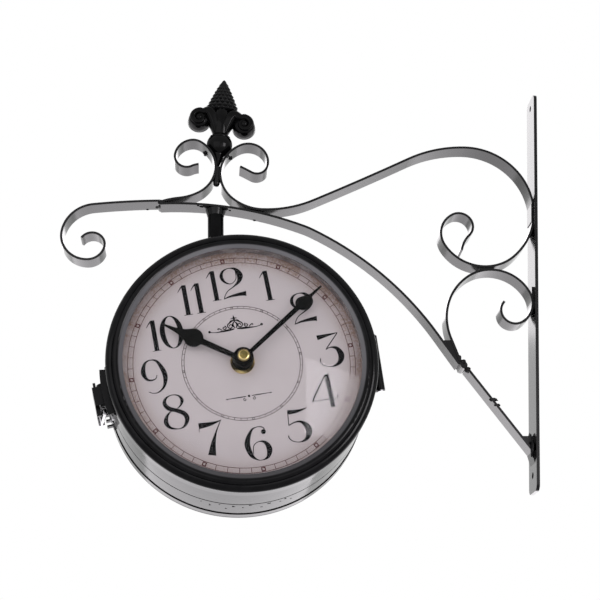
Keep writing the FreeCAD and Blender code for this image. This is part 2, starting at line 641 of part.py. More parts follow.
# Hinge: one knuckle on the front leaf between two on the rear leaf
leaf_face = CASE_RADIUS + SHEET
knuckles = {"front": [(-KNUCKLE_HALF, KNUCKLE_HALF)],
            "rear": [(-HINGE_HALF, -KNUCKLE_HALF - 0.2), (KNUCKLE_HALF + 0.2, HINGE_HALF)]}
leaf_angle = math.degrees(math.asin(HINGE_HALF / leaf_face))
leaves = {}
for half, side in (("front", -1), ("rear", 1)):
    ends = sorted((side * 1.5, side * 14.0))
    leaf = sector(CASE_RADIUS, leaf_face, ends[0], ends[1], leaf_angle)
    for z0, z1 in knuckles[half]:
        web_y = sorted((side * 1.5, side * 2.7))
        web = box(CASE_RADIUS - 0.6, HINGE_AXIS, web_y[0], web_y[1], z0, z1)
        web = web.cut(disc(CASE_RADIUS, -20, 20))
        knuckle = rod_z(BARREL_RADIUS, HINGE_AXIS, 0, z0, z1)
        leaf = leaf.fuse(web).fuse(knuckle)
    bore = PIN_RADIUS + (SHAFT_GAP if half == "front" else 0.0)
    leaf = leaf.cut(rod_z(bore, HINGE_AXIS, 0, -30, 30)).removeSplitter()
    leaf.rotate(ORIGIN, AXIS_Y, HINGE_TURN)
    leaves[half] = leaf
hinge_pin = rod_z(PIN_RADIUS, HINGE_AXIS, 0, -HINGE_HALF, HINGE_HALF)
hinge_pin = hinge_pin.fuse(rod_z(2.1, HINGE_AXIS, 0, HINGE_HALF, HINGE_HALF + 0.8))
hinge_pin = hinge_pin.fuse(rod_z(2.1, HINGE_AXIS, 0, -HINGE_HALF - 0.8, -HINGE_HALF))
hinge_pin.rotate(ORIGIN, AXIS_Y, HINGE_TURN)
HINGE_RIVETS = (-12.0, 12.0)
hinge_rivets = {}
for half, side in (("front", -1), ("rear", 1)):
    y = side * 9.0
    hinge_rivets[half] = rim_rivets(1, y, HINGE_RIVETS, HINGE_TURN, leaf_face)
    for along in HINGE_RIVETS:
        hole = pinhole(RIVET_RADIUS, along * CASE_RADIUS / leaf_face, y, 1)
        hole.rotate(ORIGIN, AXIS_Y, HINGE_TURN)
        leaves[half] = leaves[half].cut(hole)
        if half == "front":
            shell_front = shell_front.cut(hole)
        else:
            shell_rear = shell_rear.cut(hole)

# Latch: base with two ears on the front half, lever, wire loop, and keeper on the rear half
EAR_INNER = 5.8
EAR_OUTER = 7.0
EAR_STEP = 0.9
latch_base = sector(CASE_RADIUS, leaf_face, -21.2, -3.0, math.degrees(math.asin(15.0 / leaf_face)), 180)
pin_x, pin_y = LEVER_PIN
ear_shape = [(-leaf_face + EAR_STEP, pin_y - 5.0), (pin_x - 0.6, pin_y - 2.1), (pin_x - 1.6, pin_y - 0.1),
             (pin_x - 0.6, pin_y + 1.9), (-leaf_face + EAR_STEP, pin_y + 5.0)]
for z0, z1 in ((-EAR_OUTER, -EAR_INNER), (EAR_INNER, EAR_OUTER)):
    latch_base = latch_base.fuse(post(ear_shape, z0, z1).cut(disc(CASE_RADIUS + 0.5, -30, 30)))
lip_face = CASE_RADIUS + 4.2
lip = sector(CASE_RADIUS, lip_face, -21.2, -20.0, math.degrees(math.asin(14.0 / lip_face)), 180)
latch_base = latch_base.fuse(lip)
latch_base = latch_base.cut(rod_z(0.95 + SHAFT_GAP, pin_x, pin_y, -20, 20)).removeSplitter()
lever_in = LEVER_FACE - LEVER_SHEET
lever_half = EAR_INNER - 0.2
lever = box(-LEVER_FACE, -lever_in, -17.0, -1.0, -lever_half, lever_half)
for z0, z1 in ((-lever_half, -lever_half + 1.2), (lever_half - 1.2, lever_half)):
    lever = lever.fuse(box(-lever_in, pin_x + 1.2, -17.0, -6.5, z0, z1))
lever = lever.fuse(box(-lever_in, pin_x + 2.2, -17.0, -15.7, -lever_half, lever_half))
tab_in = -CASE_RADIUS - 6.7
lever = lever.fuse(box(-lever_in - 0.4, tab_in, -12.6, -9.9, lever_half, lever_half + 4.0))
lever = lever.fuse(box(-LEVER_FACE, tab_in, -12.6, -9.9, -lever_half - 5.0, -lever_half))
lever = lever.fuse(rod_z(0.95, pin_x, pin_y, -EAR_OUTER - 0.4, EAR_OUTER + 0.4))
lever = lever.cut(rod_z(LOOP_WIRE + SHAFT_GAP, LOOP_PIN[0], LOOP_PIN[1], -7.5, 7.5)).removeSplitter()
loop_turn = math.radians(LOOP_LIFT)
far = V(LOOP_PIN[0] - LOOP_LENGTH * math.sin(loop_turn), LOOP_PIN[1] + LOOP_LENGTH * math.cos(loop_turn), 0)
loop = None
stub_in = lever_half - 0.9
for side in (-1, 1):
    z = side * LOOP_HALF
    near_end = V(LOOP_PIN[0], LOOP_PIN[1], z)
    far_end = V(far.x, far.y, z)
    side_wire = Part.makeCylinder(LOOP_WIRE, LOOP_LENGTH, near_end, far_end - near_end)
    stub = rod_z(LOOP_WIRE, LOOP_PIN[0], LOOP_PIN[1], min(z, side * stub_in), max(z, side * stub_in))
    wire = side_wire.fuse(stub).fuse(Part.makeSphere(LOOP_WIRE, near_end))
    wire = wire.fuse(Part.makeSphere(LOOP_WIRE, far_end))
    loop = wire if loop is None else loop.fuse(wire)
loop = loop.fuse(rod_z(LOOP_WIRE, far.x, far.y, -LOOP_HALF, LOOP_HALF))
loop_end = box(far.x - LOOP_END_WIDTH / 2, far.x + LOOP_END_WIDTH / 2, far.y - 0.6, far.y + 0.6,
               -LOOP_HALF - LOOP_WIRE, LOOP_HALF + LOOP_WIRE)
loop = loop.fuse(loop_end).removeSplitter()
keeper = sector(CASE_RADIUS, leaf_face, 5.0, 20.0, math.degrees(math.asin(KEEPER_HALF / leaf_face)), 180)
hook_tip = -CASE_RADIUS - 5.6
hook = post([(-leaf_face + 0.6, 7.6), (hook_tip, 7.2), (hook_tip, 8.4), (-leaf_face + 0.6, 9.2)], -3.5, 3.5)
for z in (-9.0, -5.4, -1.8, 1.8, 5.4, 9.0):
    hook = hook.fuse(box(-CASE_RADIUS - 4.0, -CASE_RADIUS + 1.0, 15.6, 19.6, z - 0.5, z + 0.5))
keeper = keeper.fuse(hook.cut(disc(CASE_RADIUS + 0.5, -30, 30))).removeSplitter()
latch_rivets = rim_rivets(-1, -7.0, (-11.0, 11.0), LATCH_TURN, leaf_face)
keeper_rivets = rim_rivets(-1, 12.8, (-6.6, 6.6), LATCH_TURN, leaf_face)
for piece in (latch_base, lever, loop, keeper):
    piece.rotate(ORIGIN, AXIS_Y, LATCH_TURN)
for along in (-11.0, 11.0):
    hole = pinhole(RIVET_RADIUS, along * CASE_RADIUS / leaf_face, -7.0, -1)
    hole.rotate(ORIGIN, AXIS_Y, LATCH_TURN)
    latch_base = latch_base.cut(hole)
    shell_front = shell_front.cut(hole)
for along in (-6.6, 6.6):
    hole = pinhole(RIVET_RADIUS, along * CASE_RADIUS / leaf_face, 12.8, -1)
    hole.rotate(ORIGIN, AXIS_Y, LATCH_TURN)
    keeper = keeper.cut(hole)
    shell_rear = shell_rear.cut(hole)

keep_in_case("front_shell", shell_front)
keep_in_case("rear_shell", shell_rear)
for name, make in (("bezel", case_bezel), ("glass", case_glass), ("spacer_ring", spacer_ring),
                   ("dial", dial_paper), ("dial_plate", dial_plate), ("movement", movement),
                   ("battery", battery), ("bushing_nut", bushing_nut), ("hour_hand", hour_hand),
                   ("minute_hand", minute_hand), ("cap_nut", cap_nut), ("set_knob", set_knob)):
    front_piece = make()
    rear_piece = front_piece.copy()
    rear_piece.rotate(ORIGIN, AXIS_Z, 180)
    keep_in_case("front_" + name, front_piece)
    keep_in_case("rear_" + name, rear_piece)
keep_in_case("hanger_strap", strap)
keep_in_case("strap_rivets", Part.makeCompound(strap_rivets))
keep_in_case("hinge_leaf_front", leaves["front"])
keep_in_case("hinge_leaf_rear", leaves["rear"])
keep_in_case("hinge_pin", hinge_pin)
keep_in_case("hinge_rivets_front", Part.makeCompound(hinge_rivets["front"]))
keep_in_case("hinge_rivets_rear", Part.makeCompound(hinge_rivets["rear"]))
keep_in_case("latch_base", latch_base)
keep_in_case("latch_rivets", Part.makeCompound(latch_rivets))
keep_in_case("latch_lever", lever)
keep_in_case("latch_loop", loop)
keep_in_case("latch_keeper", keeper)
keep_in_case("keeper_rivets", Part.makeCompound(keeper_rivets))

for name, shape in nodes.items():
    shape.exportStep("parts/" + name + ".step")
    state = "valid" if shape.isValid() else "BAD"
    print(name, len(shape.Solids), "solids", round(shape.Volume, 1), "mm3", state)
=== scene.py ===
"""Looks of the double sided station clock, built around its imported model.

Lengths in the model's own drawings are millimetres and are scaled once, where a mesh is placed.
"""
import json
import math

import bmesh
import bpy
from mathutils import Matrix, Vector, noise


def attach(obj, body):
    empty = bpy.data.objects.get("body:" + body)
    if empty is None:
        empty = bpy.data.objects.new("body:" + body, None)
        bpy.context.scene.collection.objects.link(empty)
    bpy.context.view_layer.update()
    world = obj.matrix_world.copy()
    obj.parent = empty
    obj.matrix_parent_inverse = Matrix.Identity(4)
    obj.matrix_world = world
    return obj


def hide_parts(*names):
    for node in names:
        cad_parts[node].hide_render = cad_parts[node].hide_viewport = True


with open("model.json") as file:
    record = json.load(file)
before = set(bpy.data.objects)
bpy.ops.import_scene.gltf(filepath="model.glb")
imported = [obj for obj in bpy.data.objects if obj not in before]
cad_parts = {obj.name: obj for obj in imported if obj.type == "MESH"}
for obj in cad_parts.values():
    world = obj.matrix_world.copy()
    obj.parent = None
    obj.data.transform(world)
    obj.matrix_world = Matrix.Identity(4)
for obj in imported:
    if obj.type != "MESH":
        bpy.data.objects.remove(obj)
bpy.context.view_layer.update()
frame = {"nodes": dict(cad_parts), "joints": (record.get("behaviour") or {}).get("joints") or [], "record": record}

MM = 0.001
joints = {joint["name"]: joint for joint in frame["joints"]}

# Case frame: X to the right of the front dial, Y into the case, Z towards 12 o'clock, origin in its middle
front_spindle = Vector(joints["front_minute"]["pos_m"])
rear_spindle = Vector(joints["rear_minute"]["pos_m"])
case_middle = (front_spindle + rear_spindle) / 2
case_y = Vector(joints["front_minute"]["axis"]).normalized()
case_z = (Vector(joints["case_tilt"]["pos_m"]) - case_middle).normalized()
case_x = case_y.cross(case_z)
case_turn = Matrix((case_x, case_y, case_z)).transposed().to_4x4()
FRONT = Matrix.Translation(case_middle) @ case_turn @ Matrix.Scale(MM, 4)
REAR = FRONT @ Matrix.Rotation(math.pi, 4, "Z")
WORLD = Matrix.Scale(MM, 4)
FACES = {"front": FRONT, "rear": REAR}

CASE_RADIUS = 78.6

# Dial print, in millimetres from the dial's centre
DIAL_Y = -24.0
PRINT_LIFT = 0.03
TRACK_IN = 63.4
TRACK_OUT = 66.5
RAIL_IN = 33.9
RAIL_OUT = 35.3
LINE = 0.36
HOUR_SQUARE = 2.5
RAIL_SQUARE = 1.5
AGED_FROM = 56.0
AGED_TO = 71.0

# Bezel: inside this radius its sloping lip is painted grey, lighter towards the top, as a painted reflection in
# its black paint
LIP_FROM = 71.3
LIP_TO = 72.1

# Stage
FLOOR_Z = -0.42


# Materials --------------------------------------------------------------------------------------------------

def new_material(name):
    mat = bpy.data.materials.new(name)
    mat.use_nodes = True
    tree = mat.node_tree
    shader = tree.nodes["Principled BSDF"]
    return mat, tree, shader


def add(tree, kind, **values):
    node = tree.nodes.new(kind)
    for key, value in values.items():
        setattr(node, key, value)
    return node


def link(tree, source, target):
    tree.links.new(source, target)


def coordinates(tree, place=None):
    """Rest coordinates of the mesh; with a place, in that place's millimetres."""
    coords = add(tree, "ShaderNodeTexCoord")
    if place is None:
        return coords.outputs["Object"]
    mapping = add(tree, "ShaderNodeMapping", vector_type="TEXTURE")
    mapping.inputs["Location"].default_value = place.to_translation()
    mapping.inputs["Rotation"].default_value = place.to_euler()
    mapping.inputs["Scale"].default_value = (MM, MM, MM)
    link(tree, coords.outputs["Object"], mapping.inputs["Vector"])
    return mapping.outputs["Vector"]


def radius_from_axis(tree, where):
    """Distance from the Y axis of the coordinates, and their Z."""
    parts = add(tree, "ShaderNodeSeparateXYZ")
    link(tree, where, parts.inputs["Vector"])
    squared = maths(tree, "ADD", maths(tree, "MULTIPLY", parts.outputs["X"], parts.outputs["X"]),
                    maths(tree, "MULTIPLY", parts.outputs["Z"], parts.outputs["Z"]))
    return maths(tree, "SQRT", squared), parts.outputs["Z"]


def noise_map(tree, where, scale, detail=4.0, rough=0.5, distortion=0.0):
    node = add(tree, "ShaderNodeTexNoise")
    node.inputs["Scale"].default_value = scale
    node.inputs["Detail"].default_value = detail
    node.inputs["Roughness"].default_value = rough
    node.inputs["Distortion"].default_value = distortion
    link(tree, where, node.inputs["Vector"])
    return node.outputs["Fac"]


def ramp(tree, source, low, high, stops=((0.0, 0.0), (1.0, 1.0))):
    """Maps source from low..high onto 0..1 and clamps it."""
    node = add(tree, "ShaderNodeMapRange", clamp=True)
    node.inputs["From Min"].default_value = low
    node.inputs["From Max"].default_value = high
    node.inputs["To Min"].default_value = stops[0][1]
    node.inputs["To Max"].default_value = stops[1][1]
    link(tree, source, node.inputs["Value"])
    return node.outputs["Result"]


def maths(tree, operation, a, b=None):
    node = add(tree, "ShaderNodeMath", operation=operation)
    for socket, value in zip(node.inputs, (a, b)):
        if value is None:
            continue
        if isinstance(value, (int, float)):
            socket.default_value = value
        else:
            link(tree, value, socket)
    return node.outputs["Value"]


def blend_colours(tree, factor, first, second):
    node = add(tree, "ShaderNodeMix", data_type="RGBA")
    link(tree, factor, node.inputs["Factor"])
    for socket, value in ((node.inputs[6], first), (node.inputs[7], second)):
        if isinstance(value, tuple):
            socket.default_value = value + (1.0,)
        else:
            link(tree, value, socket)
    return node.outputs[2]


def bump(tree, shader, height, strength, distance, below=None):
    node = add(tree, "ShaderNodeBump")
    node.inputs["Strength"].default_value = strength
    node.inputs["Distance"].default_value = distance
    link(tree, height, node.inputs["Height"])
    if below is not None:
        link(tree, below, node.inputs["Normal"])
    link(tree, node.outputs["Normal"], shader.inputs["Normal"])
    return node.outputs["Normal"]


def enamel(name, colour, rough_low, rough_high, ripple=0.25, pits=0.35, specular=0.085, lip=None, coat=0.0):
    """Sprayed gloss paint: soft ripple, matt patches, dust and small pits; with a lip, a painted grey reflection
    on its inner rim, lighter towards the top.
    """
    mat, tree, shader = new_material(name)
    shader.inputs["Coat Weight"].default_value = coat
    shader.inputs["Coat IOR"].default_value = 1.22
    shader.inputs["Coat Roughness"].default_value = rough_high
    where = coordinates(tree)
    patches = noise_map(tree, where, 90.0, 5.0, 0.6)
    dust = noise_map(tree, where, 900.0, 3.0, 0.6)
    tone = ramp(tree, patches, 0.35, 0.7)
    paint = blend_colours(tree, tone, tuple(c * 0.7 for c in colour), tuple(c * 1.5 + 0.001 for c in colour))
    shader.inputs["Specular IOR Level"].default_value = specular
    if lip is not None:
        # Painted reflection: inside the lip radius the black turns grey, lighter towards the top, standing in for
        # the surroundings mirrored in the sloping lip
        radius, height = radius_from_axis(tree, coordinates(tree, lip))
        inside = ramp(tree, radius, LIP_FROM, LIP_TO, ((0, 1.0), (1, 0.0)))
        high = ramp(tree, height, -70.0, 70.0)
        grey = blend_colours(tree, high, (0.034, 0.032, 0.036), (0.085, 0.083, 0.092))
        paint = blend_colours(tree, inside, paint, grey)
        level = ramp(tree, inside, 0.0, 1.0, ((0, specular), (1, 0.4)))
        link(tree, level, shader.inputs["Specular IOR Level"])
    link(tree, paint, shader.inputs["Base Color"])
    grain = maths(tree, "ADD", maths(tree, "MULTIPLY", patches, 0.6), maths(tree, "MULTIPLY", dust, 0.4))
    link(tree, ramp(tree, grain, 0.35, 0.65, ((0, rough_low), (1, rough_high))), shader.inputs["Roughness"])
    soft = noise_map(tree, where, 200.0, 2.0, 0.45)
    first = bump(tree, shader, soft, ripple, 0.0003)
    cells = add(tree, "ShaderNodeTexVoronoi")
    cells.inputs["Scale"].default_value = 420.0
    link(tree, where, cells.inputs["Vector"])
    pit = ramp(tree, cells.outputs["Distance"], 0.0, 0.16)
    bump(tree, shader, pit, pits, 0.0002, first)
    return mat


def metal(name, colour, rough_low, rough_high, scale=500.0, brushed=(1, 1, 1), painted_reflection_axis=None):
    """Bare metal with grain and stains; with painted_reflection_axis, a place about whose Y axis a dark olive
    centre is painted as a reflection.
    """
    mat, tree, shader = new_material(name)
    where = coordinates(tree)
    mapping = add(tree, "ShaderNodeMapping")
    mapping.inputs["Scale"].default_value = brushed
    link(tree, where, mapping.inputs["Vector"])
    grain = noise_map(tree, mapping.outputs["Vector"], scale, 5.0, 0.65)
    stain = noise_map(tree, where, 160.0, 3.0)
    darker = tuple(c * 0.72 for c in colour)
    shade = blend_colours(tree, ramp(tree, stain, 0.35, 0.6), darker, colour)
    # Painted reflection: within about 3 mm of that axis the metal turns dark olive, standing in for the dark
    # mirrored in the middle of the cap nut
    if painted_reflection_axis is not None:
        radius = radius_from_axis(tree, coordinates(tree, painted_reflection_axis))[0]
        ragged = maths(tree, "ADD", radius, maths(tree, "MULTIPLY", grain, 0.8))
        inside = ramp(tree, ragged, 2.7, 3.3, ((0, 0.92), (1, 0.0)))
        shade = blend_colours(tree, inside, shade, (0.085, 0.062, 0.012))
    link(tree, shade, shader.inputs["Base Color"])
    link(tree, ramp(tree, grain, 0.3, 0.7, ((0, rough_low), (1, rough_high))), shader.inputs["Roughness"])
    shader.inputs["Metallic"].default_value = 1.0
    bump(tree, shader, grain, 0.12, 0.0001)
    return mat


def plastic(name, colour, rough_low, rough_high, scale=1500.0):
    mat, tree, shader = new_material(name)
    where = coordinates(tree)
    grain = noise_map(tree, where, scale, 3.0, 0.6)
    cloud = noise_map(tree, where, 120.0, 3.0)
    lighter = tuple(c * 1.25 + 0.004 for c in colour)
    link(tree, blend_colours(tree, ramp(tree, cloud, 0.3, 0.7), colour, lighter), shader.inputs["Base Color"])
    link(tree, ramp(tree, grain, 0.3, 0.7, ((0, rough_low), (1, rough_high))), shader.inputs["Roughness"])
    bump(tree, shader, grain, 0.2, 0.00006)
    return mat


def paper(name, place):
    """Printed matt paper: fibres, faint clouds, and a brown stain with flecks that grows towards the rim."""
    mat, tree, shader = new_material(name)
    where = coordinates(tree, place)
    radius, height = radius_from_axis(tree, where)
    cloud = noise_map(tree, where, 0.055, 6.0, 0.62, 0.6)
    fine = noise_map(tree, where, 0.75, 6.0, 0.75)
    fibre = noise_map(tree, where, 3.2, 3.0, 0.6)
    plain = blend_colours(tree, ramp(tree, cloud, 0.3, 0.7), (0.445, 0.392, 0.408), (0.485, 0.432, 0.447))
    plain = blend_colours(tree, ramp(tree, fibre, 0.25, 0.8), plain, (0.51, 0.458, 0.468))
    edge = ramp(tree, radius, AGED_FROM, AGED_TO)
    high = ramp(tree, height, -60.0, 60.0, ((0, 0.45), (1, 1.5)))
    patchy = ramp(tree, cloud, 0.36, 0.62, ((0, 0.1), (1, 1.3)))
    stain = maths(tree, "MULTIPLY", maths(tree, "MULTIPLY", maths(tree, "POWER", edge, 2.0), high), patchy)
    grit = ramp(tree, fine, 0.42, 0.60, ((0, 0.25), (1, 1.6)))
    stain = maths(tree, "MINIMUM", maths(tree, "MULTIPLY", stain, grit), 0.92)
    tinted = blend_colours(tree, stain, plain, (0.20, 0.115, 0.075))
    warm = maths(tree, "MULTIPLY", edge, 0.45)
    link(tree, blend_colours(tree, warm, tinted, (0.37, 0.275, 0.25)), shader.inputs["Base Color"])
    shader.inputs["Roughness"].default_value = 0.72
    shader.inputs["Specular IOR Level"].default_value = 0.2
    bump(tree, shader, fibre, 0.25, 0.00005)
    return mat


def ink(name, colour, worn):
    """Letterpress ink, a little broken up where worn is high."""
    mat, tree, shader = new_material(name)
    where = coordinates(tree)
    wear = ramp(tree, noise_map(tree, where, 700.0, 4.0, 0.7), 0.45, 0.75, ((0, 0.0), (1, worn)))
    link(tree, blend_colours(tree, wear, colour, (0.33, 0.25, 0.23)), shader.inputs["Base Color"])
    link(tree, ramp(tree, wear, 0.0, 1.0, ((0, 0.45), (1, 0.75))), shader.inputs["Roughness"])
    shader.inputs["Specular IOR Level"].default_value = 0.04
    return mat


def lens(name, ior):
    """Thin clear glass with a faint smear: it passes lamps straight through."""
    mat, tree, shader = new_material(name)
    tree.nodes.remove(shader)
    output = tree.nodes["Material Output"]
    clear = add(tree, "ShaderNodeBsdfTransparent")
    clear.inputs["Color"].default_value = (0.985, 0.99, 0.99, 1.0)
    gloss = add(tree, "ShaderNodeBsdfGlossy")
    where = coordinates(tree)
    smear = noise_map(tree, where, 60.0, 5.0, 0.6)
    link(tree, ramp(tree, smear, 0.3, 0.8, ((0, 0.0), (1, 0.05))), gloss.inputs["Roughness"])
    fresnel = add(tree, "ShaderNodeFresnel")
    fresnel.inputs["IOR"].default_value = ior
    mix = add(tree, "ShaderNodeMixShader")
    link(tree, fresnel.outputs["Fac"], mix.inputs["Fac"])
    link(tree, clear.outputs["BSDF"], mix.inputs[1])
    link(tree, gloss.outputs["BSDF"], mix.inputs[2])
    link(tree, mix.outputs["Shader"], output.inputs["Surface"])
    return mat


def plain_stage(name, colour):
    mat, tree, shader = new_material(name)
    where = coordinates(tree)
    grain = noise_map(tree, where, 30.0, 3.0)
    lighter = tuple(min(1.0, c * 1.03) for c in colour)
    link(tree, blend_colours(tree, grain, colour, lighter), shader.inputs["Base Color"])
    shader.inputs["Roughness"].default_value = 0.7
    return mat


BLACK = (0.003, 0.003, 0.0035)
SLOT_MATERIALS = {
    "black_enamel": enamel("black_enamel", BLACK, 0.12, 0.18, ripple=0.04, pits=0.03, specular=0.04,
                           coat=1.0),
    "case_enamel": enamel("case_enamel", BLACK, 0.06, 0.15, ripple=0.07, pits=0.05, specular=0.06),
    "zinc_steel": metal("zinc_steel", (0.52, 0.52, 0.53), 0.25, 0.45),
    "black_hardware": enamel("black_hardware", BLACK, 0.15, 0.35, ripple=0.2),
    "bright_steel": metal("bright_steel", (0.50, 0.49, 0.51), 0.12, 0.28),
    "glass": lens("glass", 1.15),
    # The wall ring's mid grey colour is a painted reflection of the pale dial in its glossy dark paint
    "inner_ring": enamel("inner_ring", (0.27, 0.25, 0.255), 0.15, 0.35, ripple=0.1, pits=0.1, specular=0.4),
    "dial_metal": metal("dial_metal", (0.62, 0.62, 0.64), 0.3, 0.5, brushed=(1, 1, 12)),
    "movement_plastic": plastic("movement_plastic", (0.018, 0.018, 0.019), 0.4, 0.6),
    "battery": plastic("battery", (0.22, 0.25, 0.29), 0.25, 0.4),
    # The brass caps get a painted dark reflection round the spindle axis
    "brass": metal("brass", (0.78, 0.60, 0.27), 0.06, 0.18, painted_reflection_axis=FRONT),
    "hand_black": enamel("hand_black", (0.0015, 0.0015, 0.0015), 0.25, 0.4, ripple=0.0, pits=0.0,
                         specular=0.02),
    "knob_plastic": plastic("knob_plastic", (0.45, 0.45, 0.46), 0.45, 0.6),
}
PAPERS = {side: paper(side + "_dial_paper", place) for side, place in FACES.items()}
BEZELS = {side: enamel(side + "_bezel_enamel", BLACK, 0.06, 0.15, ripple=0.06, pits=0.04, lip=place)
          for side, place in FACES.items()}
CASTING = enamel("cast_enamel", (0.002, 0.002, 0.0022), 0.06, 0.2, ripple=0.2, pits=0.1, specular=0.08)
STEM = enamel("stem_enamel", (0.0022, 0.0022, 0.0025), 0.08, 0.2, ripple=0.08, pits=0.1, specular=0.05)
WELD = enamel("weld_enamel", BLACK, 0.3, 0.5, ripple=0.3, pits=0.3, specular=0.1)
NUMERAL_INK = ink("numeral_ink", (0.003, 0.0027, 0.0035), 0.0)
TRACK_INK = ink("track_ink", (0.075, 0.028, 0.03), 0.35)
SQUARE_INK = ink("square_ink", (0.065, 0.008, 0.012), 0.35)
RAIL_INK = ink("rail_ink", (0.06, 0.048, 0.05), 0.55)


# Meshes -----------------------------------------------------------------------------------------------------

def place_mesh(name, work, place, material, body, smooth=True):
    """Turns a working mesh drawn in millimetres into a piece of the object."""
    work.transform(place)
    bmesh.ops.recalc_face_normals(work, faces=work.faces)
    mesh = bpy.data.meshes.new(name)
    work.to_mesh(mesh)
    work.free()
    for polygon in mesh.polygons:
        polygon.use_smooth = smooth
    mesh.materials.append(material)
    piece = bpy.data.objects.new(name, mesh)
    bpy.context.scene.collection.objects.link(piece)
    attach(piece, body)
    return piece


def smooth_line(points, steps=7):
    """Catmull-Rom line through points of equal length tuples."""
    if len(points) < 3:
        return [tuple(p) for p in points]
    line = []
    last = len(points) - 1
    for i in range(last):
        four = (points[max(i - 1, 0)], points[i], points[i + 1], points[min(i + 2, last)])
        for step in range(steps):
            t = step / steps
            line.append(tuple(0.5 * (2 * b + (c - a) * t + (2 * a - 5 * b + 4 * c - d) * t * t
                                     + (3 * b - a - 3 * c + d) * t ** 3) for a, b, c, d in zip(*four)))
    line.append(tuple(points[last]))
    return line


def side_of(line, i):
    """Unit direction across a line at its point i."""
    ahead = line[min(i + 1, len(line) - 1)]
    behind = line[max(i - 1, 0)]
    dx, dz = ahead[0] - behind[0], ahead[1] - behind[1]
    length = math.hypot(dx, dz) or 1.0
    return -dz / length, dx / length


def draw_stroke(work, points, origin=(0.0, 0.0)):
    """Flat stroke through (x, z, width) points."""
    line = smooth_line(points)
    before = None
    for i, (x, z, width) in enumerate(line):
        across = side_of(line, i)
        nx, nz = across[0] * width / 2, across[1] * width / 2
        pair = [work.verts.new((origin[0] + x + side * nx, DIAL_Y - PRINT_LIFT, origin[1] + z + side * nz))
                for side in (-1, 1)]
        if before:
            work.faces.new((before[0], before[1], pair[1], pair[0]))
        before = pair


def draw_dot(work, x, z, radius, count=20):
    ring = [work.verts.new((x + radius * math.cos(2 * math.pi * i / count), DIAL_Y - PRINT_LIFT,
                            z + radius * math.sin(2 * math.pi * i / count))) for i in range(count)]
    work.faces.new(ring)


def draw_ring(work, inner, outer, count=240):
    rings = []
    for i in range(count):
        angle = 2 * math.pi * i / count
        rings.append([work.verts.new((r * math.sin(angle), DIAL_Y - PRINT_LIFT, r * math.cos(angle)))
                      for r in (inner, outer)])
    for i in range(count):
        a, b = rings[i], rings[(i + 1) % count]
        work.faces.new((a[0], a[1], b[1], b[0]))


def draw_oval(work, x, z, half_wide, half_high, thick, thin, count=48):
    """Ring whose sides are thick and whose top and bottom are thin."""
    rings = []
    for i in range(count):
        angle = 2 * math.pi * i / count
        c, s = math.cos(angle), math.sin(angle)
        rings.append([work.verts.new((x + (half_wide - inset[0]) * c, DIAL_Y - PRINT_LIFT,
                                      z + (half_high - inset[1]) * s)) for inset in ((0, 0), (thick, thin))])
    for i in range(count):
        a, b = rings[i], rings[(i + 1) % count]
        work.faces.new((a[0], a[1], b[1], b[0]))


def polar(radius, clock_degrees):
    angle = math.radians(clock_degrees)
    return radius * math.sin(angle), radius * math.cos(angle)


def draw_tick(work, inner, outer, clock_degrees, width):
    x0, z0 = polar(inner, clock_degrees)
    x1, z1 = polar(outer, clock_degrees)
    draw_stroke(work, [(x0, z0, width), (x1, z1, width)])


def draw_square(work, radius, clock_degrees, side, line):
    """Open square standing on its radius."""
    half = side / 2
    turn = math.radians(clock_degrees)
    cx, cz = polar(radius, clock_degrees)
    corners = []
    for u, v in ((-1, -1), (1, -1), (1, 1), (-1, 1)):
        pair = []
        for reach in (half, half - line):
            x, z = u * reach, v * reach
            pair.append(work.verts.new((cx + x * math.cos(turn) + z * math.sin(turn), DIAL_Y - 2 * PRINT_LIFT,
                                        cz - x * math.sin(turn) + z * math.cos(turn))))
        corners.append(pair)
    for i in range(4):
        a, b = corners[i], corners[(i + 1) % 4]
        work.faces.new((a[0], a[1], b[1], b[0]))


